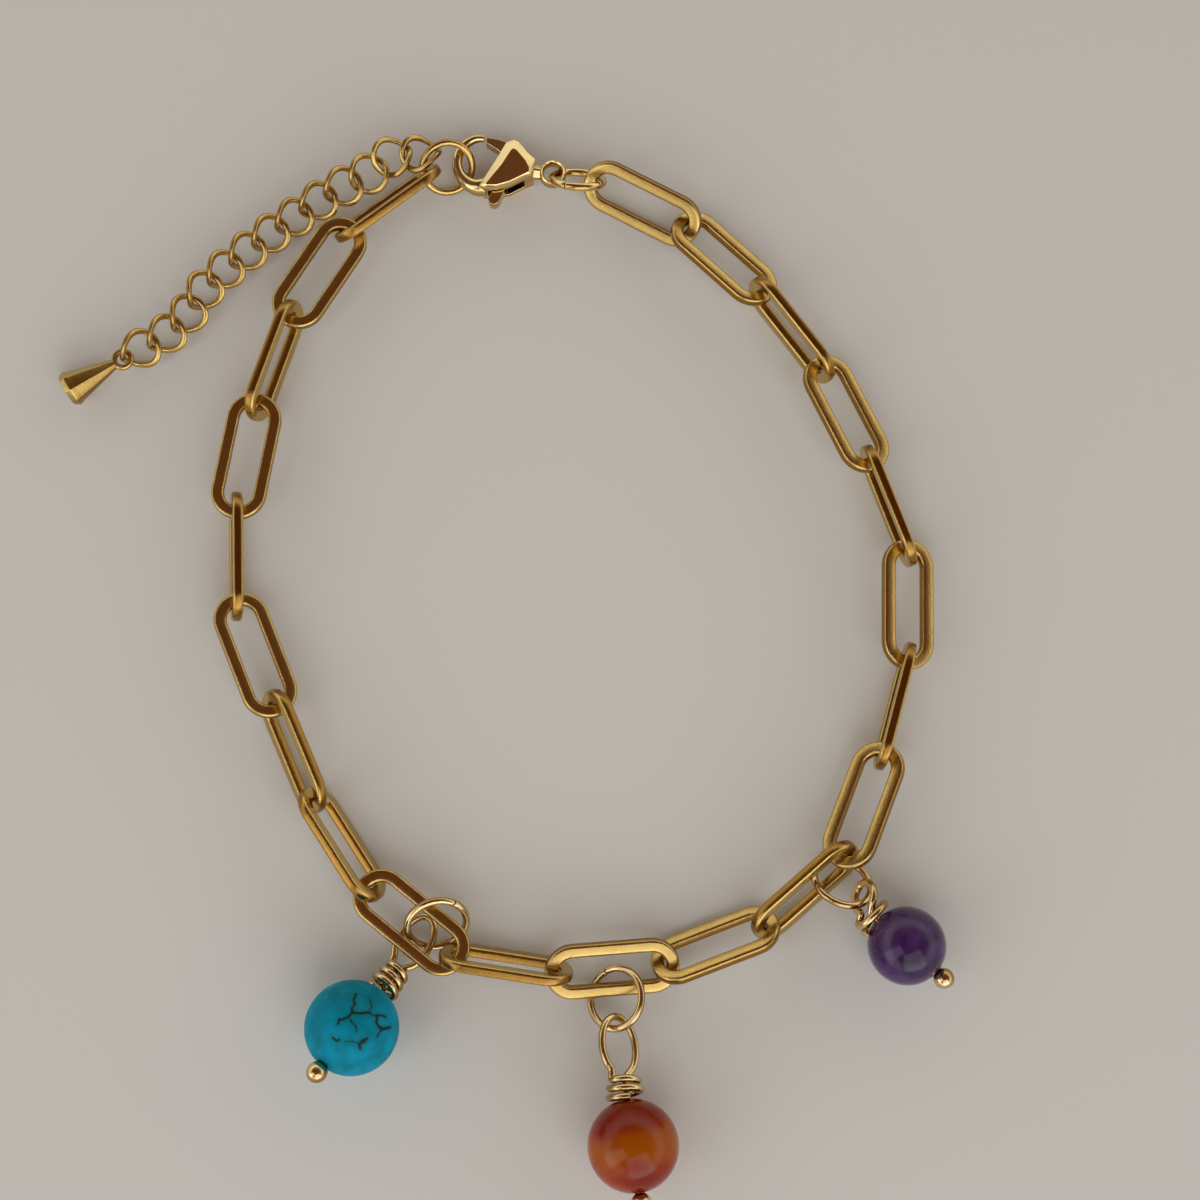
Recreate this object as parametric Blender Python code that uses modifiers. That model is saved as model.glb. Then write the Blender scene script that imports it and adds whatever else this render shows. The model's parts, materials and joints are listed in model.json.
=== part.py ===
"""Birthstone bracelet: a loop of paperclip links, a lobster clasp, an extender and three bead charms.

The bracelet lies on a surface as it does after use: links at their own rolls, beads resting.
Metres, +Z up. The origin is the middle of the bracelet's box, on the surface under it.
+Y points to the clasp, +X to the side that the clasp's eye is on.
"""

import math

import bmesh
import bpy
from mathutils import Matrix, Vector

# Paperclip links of the wrist loop
LINK_COUNT = 21
LINK_LENGTH = 0.00905
LINK_WIDTH = 0.0038
LINK_BAR = 0.00088
LINK_THICKNESS = 0.00072
LINK_PLAY = 0.00014

# Jump rings at the two ends of the loop
CLASP_RING_DIAMETER = 0.0042
CLASP_RING_WIRE = 0.0006
CLASP_RING_ROLL = -52.0
END_RING_DIAMETER = 0.0041
END_RING_WIRE = 0.0005
END_RING_ROLL = 40.0
END_RING_SPAN_SHARE = 0.85

# Lobster clasp, cast in one with its eye and its pivot pin
CLASP_THICKNESS = 0.0026
CHEEK_THICKNESS = 0.00072
CLASP_BEVEL = 0.00028
EYE_DIAMETER = 0.0020
EYE_WALL = 0.00032
EYE_THICKNESS = 0.0005
EYE_CONTACT = (0.00044, -0.0004)
HOOK_CONTACT = (-0.00655, -0.00005)
HOOK_WIDTH = 0.0006
HOOK_HEIGHT = 0.0008
PIVOT = (-0.00295, 0.00105)
PIN_DIAMETER = 0.00045
PIN_CLEARANCE = 0.00005
LEVER_CLEARANCE = 0.00006

# Extender of curb links and the drop on its free end
EXTENDER_COUNT = 13
EXTENDER_DIAMETER = 0.00305
EXTENDER_WIRE = 0.00042
EXTENDER_TWIST = -45.0
EXTENDER_PLAY = 0.00014
DROP_LENGTH = 0.0039
DROP_DIAMETER = 0.0026
DROP_NECK_DIAMETER = 0.0007
DROP_FACETS = 8
DROP_LOOP_DIAMETER = 0.0016
DROP_LOOP_WIRE = 0.0004

# Charms: jump ring, head pin and bead
CHARM_RING_DIAMETER = 0.0045
CHARM_WIRE = 0.0005
PIN_BALL_DIAMETER = 0.0014
BEAD_HOLE_CLEARANCE = 0.00008
LOOP_OPENING = 40

# Gap that keeps a resting piece off the surface, apart from the clasp, which sits on it
REST_GAP = 0.00002

# The wrist loop's route, clockwise from the clasp's eye, as shares of the loop's length
LOOP_ROUTE = [
    (0.0227, 0.2151), (0.0432, 0.2131), (0.0841, 0.1900), (0.1160, 0.1568), (0.1404, 0.1224),
    (0.1595, 0.0802), (0.1728, 0.0404), (0.1694, -0.0030), (0.1573, -0.0431), (0.1409, -0.0822),
    (0.1106, -0.1081), (0.0704, -0.1240), (0.0280, -0.1280), (-0.0185, -0.1216), (-0.0541, -0.0930),
    (-0.0781, -0.0565), (-0.0963, -0.0149), (-0.1123, 0.0244), (-0.1140, 0.0643), (-0.1084, 0.1012),
    (-0.0955, 0.1451), (-0.0752, 0.1832), (-0.0359, 0.2159), (-0.0193, 0.2234),
]

# Roll of each link about its own length: 0 lies flat, + has its outer rail higher.
# Lift raises the link's far end above where the two links would rest, in shares of the link's width.
LINK_LIE = [
    # roll, lift
    (42.0, 0.0), (-22.0, 0.0), (80.0, 0.0), (-20.0, 0.0), (90.0, 0.0), (-20.0, 0.0), (90.0, 0.0),
    (28.0, 0.14), (-58.0, 0.0), (39.0, 0.0), (-22.0, 0.0), (68.0, 0.03), (2.0, 0.06), (62.0, 0.0),
    (-58.0, 0.0), (15.0, 0.0), (-76.0, 0.0), (3.0, 0.0), (78.0, 0.0), (0.0, 0.0), (-62.0, 0.0),
]

# The extender's route from its first link's centre, as shares of the extender's length
EXTENDER_ROUTE = [
    (0.0, 0.0), (-0.073, -0.006), (-0.129, -0.049), (-0.194, -0.084), (-0.324, -0.160),
    (-0.448, -0.254), (-0.558, -0.356), (-0.646, -0.477), (-0.710, -0.518), (-0.850, -0.600),
]
EXTENDER_START = (-0.00188, 0.00081)

# Roll of each curb link: + has the side left of the way to the drop higher.
# Lift above the surface is a share of the link's diameter. The last row serves all later links.
EXTENDER_LIE = [
    # roll, lift
    (13.7, 0.415), (-5.1, 0.446), (-21.9, 0.315), (-38.2, 0.230), (-44.4, 0.115), (-45.0, 0.0),
]

# The charms. Shares of sizes are named by their column.
CHARMS = {
    "turquoise": {
        "link": 13, "bead": 0.0062, "colour": (0.02, 0.42, 0.52), "roughness": 0.45,
        "along": -0.94, "across": -0.67, "up_side": 108.4, "incline": 44.6, "lift": -0.34,
        "clock": 223.2, "heading": 53.7, "loop_length": 0.0043, "loop_width": 0.0028,
        "loop_roll": -20.8, "loop_bend": 18.8, "slack": 0.0015,
        "wrap_turns": 3.0, "wrap_length": 0.0019, "wrap_top": 0.0019, "wrap_bottom": 0.0024,
    },
    "carnelian": {
        "link": 11, "bead": 0.0060, "colour": (0.55, 0.06, 0.01), "roughness": 0.12,
        "along": -0.09, "across": 1.45, "up_side": -13.0, "incline": 33.7, "lift": -0.25,
        "clock": 276.3, "heading": 98.2, "loop_length": 0.0044, "loop_width": 0.0030,
        "loop_roll": 31.2, "loop_bend": -0.3, "slack": 0.0004,
        "wrap_turns": 2.2, "wrap_length": 0.0013, "wrap_top": 0.0023, "wrap_bottom": 0.0028,
    },
    "amethyst": {
        "link": 9, "bead": 0.0052, "colour": (0.09, 0.02, 0.16), "roughness": 0.1,
        "along": -1.46, "across": 1.59, "up_side": 246.9, "incline": 41.0, "lift": -0.51,
        "clock": 334.9, "heading": 138.7, "loop_length": 0.0027, "loop_width": 0.0025,
        "loop_roll": -42.6, "loop_bend": -55.2, "slack": 0.00054,
        "wrap_turns": 1.2, "wrap_length": 0.0007, "wrap_top": 0.0027, "wrap_bottom": 0.0029,
    },
}

UP = Vector((0.0, 0.0, 1.0))

for old in list(bpy.data.objects):
    bpy.data.objects.remove(old, do_unlink=True)

parts = bpy.data.collections.new("birthstone_bracelet")
bpy.context.scene.collection.children.link(parts)


def material(name, colour, roughness, metallic):
    """A plain Principled material with the piece's colour and finish."""
    made = bpy.data.materials.new(name)
    made.use_nodes = True
    shader = made.node_tree.nodes["Principled BSDF"]
    shader.inputs["Base Color"].default_value = (*colour, 1.0)
    shader.inputs["Roughness"].default_value = roughness
    shader.inputs["Metallic"].default_value = metallic
    return made


CHAIN_GOLD = (0.60, 0.40, 0.12)
POLISHED_GOLD = (0.86, 0.68, 0.34)
WIRE_GOLD = (0.80, 0.60, 0.32)


def keep(obj, name, finish, smooth_angle=40.0):
    """Name a finished piece, give it its finish and file it with the parts."""
    obj.name = name
    obj.data.name = name
    for held in list(obj.users_collection):
        held.objects.unlink(obj)
    parts.objects.link(obj)
    obj.data.materials.clear()
    obj.data.materials.append(material(name, *finish))
    obj.data.shade_smooth()
    obj.data.set_sharp_from_angle(angle=math.radians(smooth_angle))
    obj.parent = bracelet
    return obj


def lying_frame(centre, heading, roll):
    """Frame of a link: X along heading, Y its side to the left, raised by roll degrees."""
    along = heading.normalized()
    side = UP.cross(along).normalized()
    normal = along.cross(side)
    tilt = math.radians(roll)
    raised = side * math.cos(tilt) + normal * math.sin(tilt)
    frame = Matrix.Identity(4)
    frame.col[0].xyz = along
    frame.col[1].xyz = raised
    frame.col[2].xyz = along.cross(raised)
    frame.col[3].xyz = centre
    return frame


def rest_height(mesh, frame):
    """Height of a piece's origin when its lowest point just clears the surface."""
    turn = frame.to_3x3()
    return REST_GAP - min((turn @ vertex.co).z for vertex in mesh.vertices)


def torus(major_radius, minor_radius, steps, sides):
    """A ring whose corners lie outside its circle, so that its flats touch the true radius."""
    bpy.ops.mesh.primitive_torus_add(
        major_segments=steps, minor_segments=sides,
        major_radius=major_radius / math.cos(math.pi / steps), minor_radius=minor_radius,
    )
    ring = bpy.context.active_object
    ring.data.transform(Matrix.Rotation(math.pi / steps, 4, "Z"))
    return ring


def paperclip_link():
    """A ring of flattened bar whose two halves are drawn apart."""
    link = torus((LINK_WIDTH - LINK_BAR) / 2, LINK_BAR / 2, 16, 6)
    flat = LINK_THICKNESS / 2 / (LINK_BAR / 2 * math.sin(math.radians(60.0)))
    for vertex in link.data.vertices:
        vertex.co.x += math.copysign((LINK_LENGTH - LINK_WIDTH) / 2, vertex.co.x)
        vertex.co.z *= flat
    return link


def curb_link():
    """A round ring twisted about its length, so that like links lie one through the next."""
    link = torus((EXTENDER_DIAMETER - EXTENDER_WIRE) / 2, EXTENDER_WIRE / 2, 14, 6)
    for vertex in link.data.vertices:
        share = vertex.co.x / (EXTENDER_DIAMETER / 2)
        vertex.co = Matrix.Rotation(math.radians(EXTENDER_TWIST) * share, 3, "X") @ vertex.co
    return link


def through(points, closed):
    """A smooth route: cubic Hermite spans between the points, with tangents from their neighbours."""
    count = len(points)

    def knot(index):
        return Vector(points[index % count] if closed else points[max(0, min(count - 1, index))])

    def tangent(index):
        before, here, after = knot(index - 1), knot(index), knot(index + 1)
        back = max((here - before).length, 1e-9)
        ahead = max((after - here).length, 1e-9)
        if not closed and index in (0, count - 1):
            return (after - before) / (back if index else ahead)
        return ((here - before) / back * ahead + (after - here) / ahead * back) / (back + ahead)

    def place(share):
        index = math.floor(share)
        if not closed:
            index = max(0, min(count - 2, index))
        here = share - index
        start, end = knot(index), knot(index + 1)
        span = (end - start).length
        rise = here * here * (3.0 - 2.0 * here)
        leave = here * (1.0 - here) ** 2 * span
        arrive = here * here * (here - 1.0) * span
        return start * (1.0 - rise) + end * rise + tangent(index) * leave + tangent(index + 1) * arrive

    return place


def step_along(place, share, chord, scale):
    """The share of the route that lies one chord further on."""
    start = place(share) * scale
    low = share
    high = share
    while (place(high) * scale - start).length < chord:
        high += 0.02
    for _ in range(40):
        middle = (low + high) / 2
        if (place(middle) * scale - start).length < chord:
            low = middle
        else:
            high = middle
    return high


bracelet = bpy.data.objects.new("bracelet_frame", None)
bpy.context.scene.collection.objects.link(bracelet)

# The chain's heights: each joint lies where the higher of its two pieces rests
link_pitch = LINK_LENGTH - 2 * LINK_BAR - LINK_PLAY
clasp_ring_pitch = CLASP_RING_DIAMETER - 2 * CLASP_RING_WIRE - LINK_PLAY
end_ring_pitch = (END_RING_DIAMETER - 2 * END_RING_WIRE) * END_RING_SPAN_SHARE
clasp_middle = CLASP_THICKNESS / 2

paperclip = paperclip_link()
clasp_jump = torus((CLASP_RING_DIAMETER - CLASP_RING_WIRE) / 2, CLASP_RING_WIRE / 2, 16, 6)
end_jump = torus((END_RING_DIAMETER - END_RING_WIRE) / 2, END_RING_WIRE / 2, 16, 6)
ahead = Vector((1.0, 0.0, 0.0))
link_rest = [rest_height(paperclip.data, lying_frame(Vector(), ahead, roll)) for roll, _ in LINK_LIE]
clasp_ring_rest = rest_height(clasp_jump.data, lying_frame(Vector(), ahead, CLASP_RING_ROLL))
end_ring_rest = rest_height(end_jump.data, lying_frame(Vector(), ahead, END_RING_ROLL))

heights = [clasp_ring_rest, max(clasp_ring_rest, link_rest[0])]
for index in range(1, LINK_COUNT):
    heights.append(max(link_rest[index - 1], link_rest[index]) + LINK_LIE[index - 1][1] * LINK_WIDTH)
heights.append(max(link_rest[-1], end_ring_rest))
heights.append(clasp_middle)

chords = [clasp_ring_pitch] + [link_pitch] * LINK_COUNT + [end_ring_pitch]
clasp_chord = (Vector(EYE_CONTACT) - Vector(HOOK_CONTACT)).length
level_chords = [
    math.sqrt(chord ** 2 - (heights[index + 1] - heights[index]) ** 2)
    for index, chord in enumerate(chords)
] + [clasp_chord]

# The route grows or shrinks until the chain and the clasp close it exactly
loop_place = through(LOOP_ROUTE, closed=True)
smallest = 0.5 * sum(level_chords)
largest = 2.0 * sum(level_chords)
for _ in range(40):
    loop_scale = (smallest + largest) / 2
    share = 0.0
    for chord in level_chords:
        share = step_along(loop_place, share, chord, loop_scale)
    if share > len(LOOP_ROUTE):
        smallest = loop_scale
    else:
        largest = loop_scale

joints = []
share = 0.0
for index, height in enumerate(heights):
    spot = loop_place(share) * loop_scale
    joints.append(Vector((spot.x, spot.y, height)))
    share = step_along(loop_place, share, level_chords[index], loop_scale)


def chain_frame(index, roll):
    """Frame of the chain piece between joint index and the next."""
    start, end = joints[index], joints[index + 1]
    return lying_frame((start + end) / 2, end - start, roll)


# Wrist loop
link_frames = []
for index, (roll, _) in enumerate(LINK_LIE):
    link = bpy.data.objects.new("link", paperclip.data.copy())
    parts.objects.link(link)
    frame = chain_frame(index + 1, roll)
    link_frames.append(frame)
    keep(link, f"link_{index + 1:02d}", (CHAIN_GOLD, 0.35, 1.0))
    link.matrix_world = frame
bpy.data.objects.remove(paperclip, do_unlink=True)

keep(clasp_jump, "clasp_ring", (POLISHED_GOLD, 0.12, 1.0))
clasp_jump.matrix_world = chain_frame(0, CLASP_RING_ROLL)

end_ring_start = joints[-2]
end_heading = joints[-1] - joints[-2]
end_heading.z = 0.0
end_reach = (END_RING_DIAMETER / 2 - END_RING_WIRE) - LINK_PLAY / 2
end_centre = end_ring_start + end_heading.normalized() * end_reach
end_centre.z = (joints[-1].z + joints[-2].z) / 2
end_frame = lying_frame(end_centre, end_heading, END_RING_ROLL)
keep(end_jump, "end_ring", (CHAIN_GOLD, 0.3, 1.0))
end_jump.matrix_world = end_frame


# Clasp, in its own frame: X from the hook to the eye, origin at the eye's middle
def plate(name, outline, low, high, hole=None):
    """A flat plate between two heights, from an outline and perhaps a round hole."""
    curve = bpy.data.curves.new(name, "CURVE")
    curve.dimensions = "2D"
    curve.fill_mode = "BOTH"
    curve.extrude = (high - low) / 2
    rings = [outline]
    if hole is not None:
        (hole_x, hole_y), hole_radius = hole
        corners = 12
        rings.append([
            (hole_x + hole_radius * math.cos(2 * math.pi * corner / corners),
             hole_y + hole_radius * math.sin(2 * math.pi * corner / corners))
            for corner in range(corners)
        ])
    for ring in rings:
        spline = curve.splines.new("POLY")
        spline.points.add(len(ring) - 1)
        for point, (x, y) in zip(spline.points, ring):
            point.co = (x, y, 0.0, 1.0)
        spline.use_cyclic_u = True
    return as_mesh(bpy.data.objects.new(name, curve), Matrix.Translation((0.0, 0.0, (low + high) / 2)))


def as_mesh(obj, shift):
    """Turn a curve object into a mesh with welded caps."""
    bpy.context.scene.collection.objects.link(obj)
    evaluated = obj.evaluated_get(bpy.context.evaluated_depsgraph_get())
    mesh = bpy.data.meshes.new_from_object(evaluated)
    mesh.transform(shift)
    work = bmesh.new()
    work.from_mesh(mesh)
    bmesh.ops.remove_doubles(work, verts=work.verts, dist=1e-7)
    bmesh.ops.recalc_face_normals(work, faces=work.faces)
    work.to_mesh(mesh)
    work.free()
    made = bpy.data.objects.new(obj.name, mesh)
    bpy.context.scene.collection.objects.link(made)
    bpy.data.objects.remove(obj, do_unlink=True)
    return made


def tube(name, points, radius, radii=None, sides_level=1):
    """A wire through the points, closed at both ends."""
    curve = bpy.data.curves.new(name, "CURVE")
    curve.dimensions = "3D"
    curve.bevel_depth = radius
    curve.bevel_resolution = sides_level
    curve.use_fill_caps = True
    spline = curve.splines.new("POLY")
    spline.points.add(len(points) - 1)
    for index, place in enumerate(points):
        spline.points[index].co = (*place, 1.0)
        if radii:
            spline.points[index].radius = radii[index]
    return as_mesh(bpy.data.objects.new(name, curve), Matrix.Identity(4))


def cylinder(name, radius, low, high, sides, x=0.0, y=0.0):
    """An upright cylinder."""
    bpy.ops.mesh.primitive_cylinder_add(vertices=sides, radius=radius, depth=high - low)
    made = bpy.context.active_object
    made.name = name
    made.data.transform(Matrix.Translation((x, y, (low + high) / 2)))
    return made


def combine(body, tool, operation):
    """Apply a Boolean and drop the tool."""
    modifier = body.modifiers.new(operation, "BOOLEAN")
    modifier.operation = operation
    modifier.solver = "EXACT"
    modifier.object = tool
    bpy.context.view_layer.update()
    evaluated = body.evaluated_get(bpy.context.evaluated_depsgraph_get())
    mesh = bpy.data.meshes.new_from_object(evaluated)
    body.modifiers.clear()
    body.data = mesh
    bpy.data.objects.remove(tool, do_unlink=True)
    return body


def mm(points):
    """Outline points given in millimetres, in metres."""
    return [(x / 1000.0, y / 1000.0) for x, y in points]


# The cheeks' outline: apex by the gate, belly, and the corner where the hook grows out
CHEEK_OUTLINE = mm([
    (-3.05, 1.84), (-3.55, 1.55), (-4.20, -0.10), (-5.00, -1.95), (-4.60, -2.15), (-3.75, -2.08),
    (-2.85, -1.70), (-1.95, -1.05), (-1.30, -0.66), (-1.30, 0.58), (-1.95, 1.02), (-2.65, 1.72),
])
NECK_OUTLINE = mm([(-1.70, -0.60), (-0.80, -0.42), (-0.80, 0.42), (-1.70, 0.55)])
LEVER_SLOT = mm([
    (-5.60, 2.40), (-4.35, -0.90), (-4.35, -3.20), (-1.90, -3.20), (-1.90, 0.90), (-1.90, 2.40),
])
HOOK_CENTRE_LINE = mm([
    (-4.55, -1.60), (-5.25, -1.72), (-5.95, -1.50), (-6.55, -0.98), (-6.88, -0.25),
    (-6.88, 0.55), (-6.58, 1.25), (-6.02, 1.76), (-5.55, 1.92), (-5.22, 1.93),
])
HOOK_TAPER = [1.9, 1.7, 1.35, 1.1, 1.0, 1.0, 0.95, 0.85, 0.72, 0.62]
LEVER_OUTLINE = mm([
    (-5.05, 1.88), (-4.20, 1.86), (-3.20, 1.66), (-2.55, 1.45), (-2.42, 0.95), (-2.62, 0.55),
    (-2.95, -0.60), (-3.22, -2.05), (-3.48, -2.85), (-3.75, -3.05), (-4.10, -2.98), (-4.27, -2.65),
    (-4.05, -2.05), (-3.62, -0.60), (-3.42, 0.60), (-4.07, 1.03), (-5.03, 1.48),
])

clasp = plate("clasp_body", CHEEK_OUTLINE, 0.0, CLASP_THICKNESS)
bevel = clasp.modifiers.new("edges", "BEVEL")
bevel.width = CLASP_BEVEL
bevel.segments = 1
bevel.limit_method = "ANGLE"
bevel.angle_limit = math.radians(60.0)
evaluated_clasp = clasp.evaluated_get(bpy.context.evaluated_depsgraph_get())
beveled = bpy.data.meshes.new_from_object(evaluated_clasp)
clasp.modifiers.clear()
clasp.data = beveled
slot = plate("lever_slot", LEVER_SLOT, CHEEK_THICKNESS, CLASP_THICKNESS - CHEEK_THICKNESS)
combine(clasp, slot, "DIFFERENCE")
pin = cylinder(
    "pivot_pin", PIN_DIAMETER / 2, CHEEK_THICKNESS / 2, CLASP_THICKNESS - CHEEK_THICKNESS / 2, 12, *PIVOT
)
combine(clasp, pin, "UNION")
hook = tube(
    "hook", [(x, y, clasp_middle) for x, y in HOOK_CENTRE_LINE], HOOK_WIDTH / 2, HOOK_TAPER, 2
)
stretch = HOOK_HEIGHT / HOOK_WIDTH
for vertex in hook.data.vertices:
    vertex.co.z = clasp_middle + (vertex.co.z - clasp_middle) * stretch
combine(clasp, hook, "UNION")
neck_block = plate("neck", NECK_OUTLINE, clasp_middle - EYE_THICKNESS, clasp_middle + EYE_THICKNESS)
combine(clasp, neck_block, "UNION")
eye = torus((EYE_DIAMETER - EYE_WALL) / 2, EYE_WALL / 2, 16, 6)
for vertex in eye.data.vertices:
    vertex.co.z = clasp_middle + vertex.co.z * EYE_THICKNESS / EYE_WALL
combine(clasp, eye, "UNION")

lever = plate(
    "clasp_lever", LEVER_OUTLINE,
    CHEEK_THICKNESS + LEVER_CLEARANCE, CLASP_THICKNESS - CHEEK_THICKNESS - LEVER_CLEARANCE,
    hole=(PIVOT, PIN_DIAMETER / 2 + PIN_CLEARANCE),
)
lever.data.transform(Matrix.Translation((-PIVOT[0], -PIVOT[1], 0.0)))

clasp_way = joints[0] - joints[-1]
local_way = Vector(EYE_CONTACT) - Vector(HOOK_CONTACT)
clasp_turn = math.atan2(clasp_way.y, clasp_way.x) - math.atan2(local_way.y, local_way.x)
clasp_frame = Matrix.Rotation(clasp_turn, 4, "Z")
eye_contact = clasp_frame @ Vector((*EYE_CONTACT, 0.0))
clasp_frame.translation = Vector((joints[0].x - eye_contact.x, joints[0].y - eye_contact.y, 0.0))
keep(clasp, "clasp_body", (POLISHED_GOLD, 0.12, 1.0))
clasp.matrix_world = clasp_frame
keep(lever, "clasp_lever", (POLISHED_GOLD, 0.15, 1.0))
lever.matrix_world = clasp_frame @ Matrix.Translation((*PIVOT, 0.0))

# Extender, from the end ring's upper left
extender_pitch = EXTENDER_DIAMETER - 2 * EXTENDER_WIRE - EXTENDER_PLAY
extender_length = extender_pitch * EXTENDER_COUNT
curb = curb_link()


def extender_frames(start, route, lie):
    """Frames of the curb links, each one pitch further along the route."""
    place = through(route, closed=False)
    origin = end_centre + Vector((*start, 0.0))
    spots = []
    share = 0.0
    for index in range(EXTENDER_COUNT + 1):
        spot = place(share) * extender_length
        spots.append(Vector((origin.x + spot.x, origin.y + spot.y, 0.0)))
        share = step_along(place, share, extender_pitch, extender_length)
    frames = []
    for index in range(EXTENDER_COUNT):
        roll, lift = lie[min(index, len(lie) - 1)]
        frame = lying_frame(spots[index], spots[index + 1] - spots[max(0, index - 1)], roll)
        frame.translation.z = rest_height(curb.data, frame) + lift * EXTENDER_DIAMETER
        frames.append(frame)
    return frames


curb_frames = extender_frames(EXTENDER_START, EXTENDER_ROUTE, EXTENDER_LIE)
for index, frame in enumerate(curb_frames):
    link = bpy.data.objects.new("extender_link", curb.data.copy())
    parts.objects.link(link)
    keep(link, f"extender_link_{index + 1:02d}", (CHAIN_GOLD, 0.3, 1.0))
    link.matrix_world = frame
bpy.data.objects.remove(curb, do_unlink=True)

# Drop: a faceted cone cast with its loop, X from the loop's middle to the wide end
drop_profile = [
    (0.0, 0.0), (DROP_NECK_DIAMETER / 2, 0.0), (DROP_DIAMETER * 0.44, DROP_LENGTH * 0.80),
    (DROP_DIAMETER / 2, DROP_LENGTH * 0.90), (DROP_DIAMETER * 0.42, DROP_LENGTH), (0.0, DROP_LENGTH),
]
drop_mesh = bpy.data.meshes.new("drop")
drop_work = bmesh.new()
previous = None
for radius, depth in drop_profile:
    vertex = drop_work.verts.new((radius, 0.0, -depth))
    if previous:
        drop_work.edges.new((previous, vertex))
    previous = vertex
drop_work.to_mesh(drop_mesh)
drop_work.free()
drop = bpy.data.objects.new("extender_drop", drop_mesh)
bpy.context.scene.collection.objects.link(drop)
turning = drop.modifiers.new("turning", "SCREW")
turning.steps = DROP_FACETS
turning.render_steps = DROP_FACETS
turning.use_merge_vertices = True
turning.merge_threshold = 0.00001
bpy.context.view_layer.update()
evaluated_drop = drop.evaluated_get(bpy.context.evaluated_depsgraph_get())
turned = bpy.data.meshes.new_from_object(evaluated_drop)
drop.modifiers.clear()
drop.data = turned
half_facet = Matrix.Rotation(math.pi / DROP_FACETS, 4, "Z")
lay_down = Matrix.Rotation(math.radians(-90.0), 4, "Y")
neck_start = DROP_LOOP_DIAMETER / 2 - DROP_LOOP_WIRE * 0.5
drop.data.transform(Matrix.Translation((neck_start, 0.0, 0.0)) @ lay_down @ half_facet)
drop_loop = torus((DROP_LOOP_DIAMETER - DROP_LOOP_WIRE) / 2, DROP_LOOP_WIRE / 2, 12, 6)
combine(drop, drop_loop, "UNION")
drop_heading = curb_frames[-1].col[0].xyz
drop_reach = EXTENDER_DIAMETER / 2 - EXTENDER_WIRE + DROP_LOOP_DIAMETER / 2 - DROP_LOOP_WIRE - EXTENDER_PLAY
drop_centre = curb_frames[-1].translation + drop_heading * drop_reach
wide_height = DROP_DIAMETER / 2 * math.cos(math.pi / DROP_FACETS) + REST_GAP
wide_reach = neck_start + DROP_LENGTH * 0.90
drop_dip = math.asin((wide_height - drop_centre.z) / wide_reach)
drop_heading = drop_heading * math.cos(drop_dip) + UP * math.sin(drop_dip)
keep(drop, "extender_drop", (CHAIN_GOLD, 0.4, 1.0), smooth_angle=20.0)
drop.matrix_world = lying_frame(drop_centre, drop_heading, 0.0)


# Charms
def charm_pin_points(charm):
    """Centre line of a head pin: ball end, shaft, loop, and the wrap back down to the bead."""
    wire = CHARM_WIRE
    bead_radius = charm["bead"] / 2
    top_radius = (charm["wrap_top"] - wire) / 2
    bottom_radius = (charm["wrap_bottom"] - wire) / 2
    wrap_low = math.sqrt((bead_radius + wire * 0.7) ** 2 - bottom_radius ** 2)
    wrap_high = wrap_low + charm["wrap_length"]
    neck = wrap_high + wire * 0.3
    half_length = (charm["loop_length"] - wire) / 2
    half_width = (charm["loop_width"] - wire) / 2
    bend = Matrix.Rotation(-math.radians(charm["loop_bend"]), 3, "Y")

    def on_loop(turn_degrees):
        turn = math.radians(turn_degrees)
        local = Vector((half_length * (1 - math.cos(turn)), -half_width * math.sin(turn), 0.0))
        return Vector((neck, 0.0, 0.0)) + bend @ local

    ball_middle = -(bead_radius + PIN_BALL_DIAMETER * 0.45)
    points = [Vector((ball_middle, 0.0, 0.0)), Vector((neck - wire * 0.6, 0.0, 0.0))]
    for turn in range(LOOP_OPENING, 361 - LOOP_OPENING, 20):
        points.append(on_loop(float(turn)))
    steps = 10
    total = int(charm["wrap_turns"] * steps)
    for step in range(total + 1):
        share_down = step / total
        angle = 2 * math.pi * step / steps
        radius = top_radius + (bottom_radius - top_radius) * share_down
        points.append(Vector((
            wrap_high - (wrap_high - wrap_low) * share_down,
            radius * math.cos(angle), radius * math.sin(angle),
        )))
    far_inside = on_loop(180.0) - bend @ Vector((wire / 2, 0.0, 0.0))
    return points, ball_middle, far_inside


def charm_ring_frame(charm):
    """Frame of a charm's jump ring: X level, Y up its slope, at its place on the link."""
    link_frame = link_frames[charm["link"] - 1]
    rail = (LINK_WIDTH - LINK_BAR) / 2
    centre = link_frame @ Vector((charm["along"] * rail, charm["across"] * rail, 0.0))
    centre.z = link_frame.translation.z + charm["lift"] * CHARM_WIRE
    up_turn = math.radians(charm["up_side"])
    incline = math.radians(charm["incline"])
    uphill = Vector((math.cos(up_turn), math.sin(up_turn), 0.0))
    level = UP.cross(uphill)
    sloped = uphill * math.cos(incline) + UP * math.sin(incline)
    frame = Matrix.Identity(4)
    frame.col[0].xyz = level
    frame.col[1].xyz = sloped
    frame.col[2].xyz = level.cross(sloped)
    frame.col[3].xyz = centre
    return frame


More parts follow.
